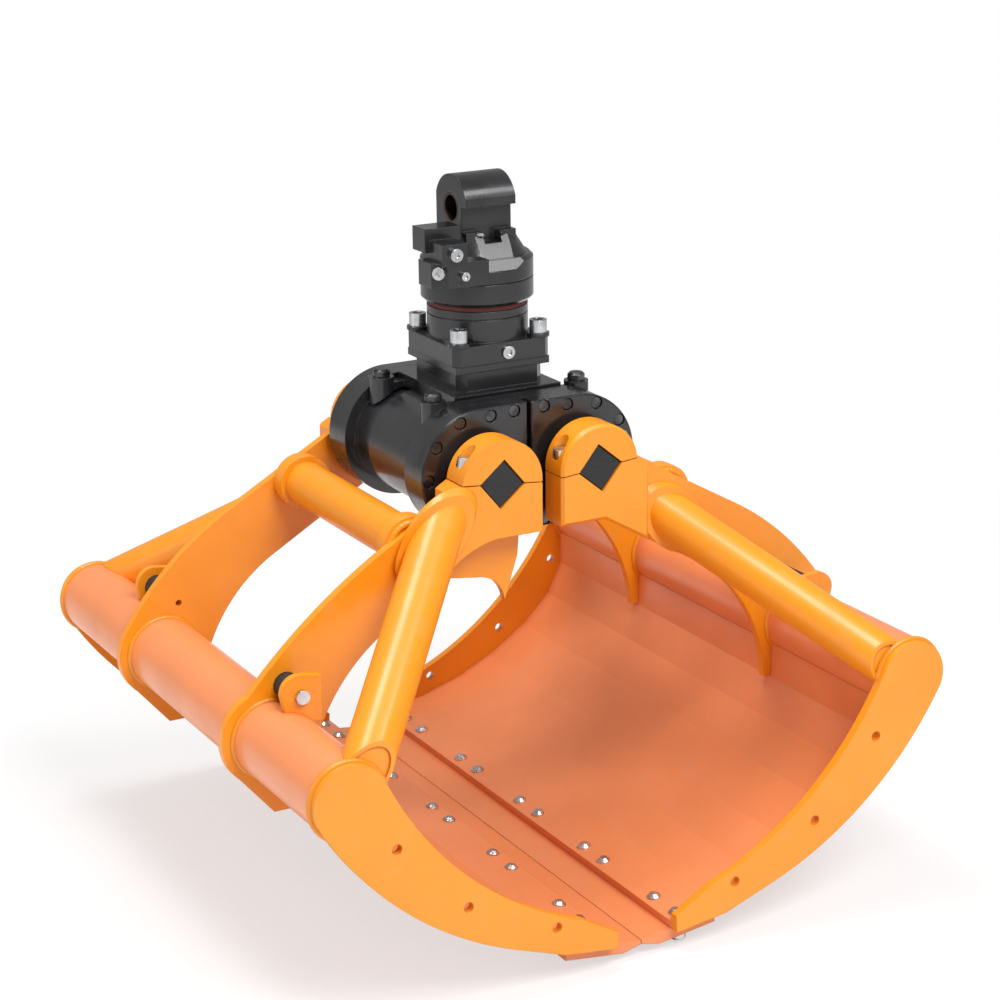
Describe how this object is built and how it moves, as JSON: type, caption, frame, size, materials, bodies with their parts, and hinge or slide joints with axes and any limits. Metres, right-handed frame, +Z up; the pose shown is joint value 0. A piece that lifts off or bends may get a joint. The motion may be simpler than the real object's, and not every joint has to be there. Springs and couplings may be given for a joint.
{
  "type": "clamshell bucket",
  "caption": "Hydraulic clamshell bucket with two open shells on tube-and-plate arms, a twin helical drive and a rotator with a crane lug.",
  "frame": {"origin": "centre of the crane-pin bore in the rotator's lug", "axes": "+X along the crane pin, which is the direction the right shell opens; +Y to the rear along the two drive shafts; +Z up"},
  "size_m": [0.974, 0.9, 0.978],
  "materials": {
    "orange_paint": "glossy orange paint",
    "salmon_paint": "satin orange paint",
    "black_casting": "satin black paint on castings",
    "black_bolt": "blackened steel",
    "zinc_fitting": "bright zinc plate",
    "shaft_steel": "dark oiled steel",
    "bearing_steel": "ground steel",
    "bush_bronze": "bronze",
    "seal_rubber": "dull red-brown rubber",
    "buffer_rubber": "matt black rubber"
  },
  "bodies": {
    "rotator_head": {"rotator_lug": "black_casting", "lug_bush": "bush_bronze", "rotator_stator": "black_casting", "port_block": "black_casting", "port_plugs": "zinc_fitting", "dust_seal": "seal_rubber"},
    "drive": {"rotor": "black_casting", "rotor_bearing": "bearing_steel", "flange_bolts": "zinc_fitting", "adapter_box": "black_casting", "adapter_bolts": "black_bolt", "drive_housing": "black_casting", "front_left_cover": "black_casting", "front_right_cover": "black_casting", "rear_left_cover": "black_casting", "rear_right_cover": "black_casting", "cover_bolts": "black_bolt", "guide_rods": "bearing_steel", "shaft_bushes": "bush_bronze", "shaft_seals": "seal_rubber", "drive_fittings": "zinc_fitting"},
    "left_piston": {"left_piston": "bearing_steel"},
    "right_piston": {"right_piston": "bearing_steel"},
    "left_shell": {"left_shaft": "shaft_steel", "left_front_arm": "orange_paint", "left_rear_arm": "orange_paint", "left_front_cap": "orange_paint", "left_rear_cap": "orange_paint", "left_clamp_bolts": "zinc_fitting", "left_stop_web": "orange_paint", "left_main_tube": "salmon_paint", "left_cross_tube": "orange_paint", "left_front_brace": "orange_paint", "left_rear_brace": "orange_paint", "left_front_side_plate": "orange_paint", "left_rear_side_plate": "orange_paint", "left_shell_sheet": "salmon_paint", "left_cutting_edge": "salmon_paint", "left_button_bolts": "zinc_fitting", "left_buffer_brackets": "orange_paint", "left_buffers": "buffer_rubber"},
    "right_shell": {"right_shaft": "shaft_steel", "right_front_arm": "orange_paint", "right_rear_arm": "orange_paint", "right_front_cap": "orange_paint", "right_rear_cap": "orange_paint", "right_clamp_bolts": "zinc_fitting", "right_stop_web": "orange_paint", "right_main_tube": "salmon_paint", "right_cross_tube": "orange_paint", "right_front_brace": "orange_paint", "right_rear_brace": "orange_paint", "right_front_side_plate": "orange_paint", "right_rear_side_plate": "orange_paint", "right_shell_sheet": "salmon_paint", "right_cutting_edge": "salmon_paint", "right_button_bolts": "zinc_fitting", "right_buffer_brackets": "orange_paint", "right_buffers": "buffer_rubber"}
  },
  "joints": [
    {"name": "rotator_swivel", "type": "hinge", "parent": "rotator_head", "child": "drive", "pos_m": [0, 0, -0.132], "axis": [0, 0, 1], "continuous": true},
    {"name": "left_shell_hinge", "type": "hinge", "parent": "drive", "child": "left_shell", "pos_m": [-0.075, 0, -0.332], "axis": [0, 1, 0], "range_deg": [0, 65]},
    {"name": "right_shell_hinge", "type": "hinge", "parent": "drive", "child": "right_shell", "pos_m": [0.075, 0, -0.332], "axis": [0, -1, 0], "range_deg": [0, 65]},
    {"name": "left_piston_slide", "type": "slide", "parent": "drive", "child": "left_piston", "axis": [0, -1, 0], "range_m": [0, 0.0434]},
    {"name": "right_piston_slide", "type": "slide", "parent": "drive", "child": "right_piston", "axis": [0, 1, 0], "range_m": [0, 0.0434]}
  ],
  "couplings": [
    {"joint": "right_shell_hinge", "follows": "left_shell_hinge", "ratio": 1},
    {"joint": "left_piston_slide", "follows": "left_shell_hinge", "m_per_rad": 0.038197},
    {"joint": "right_piston_slide", "follows": "left_shell_hinge", "m_per_rad": 0.038197}
  ]
}
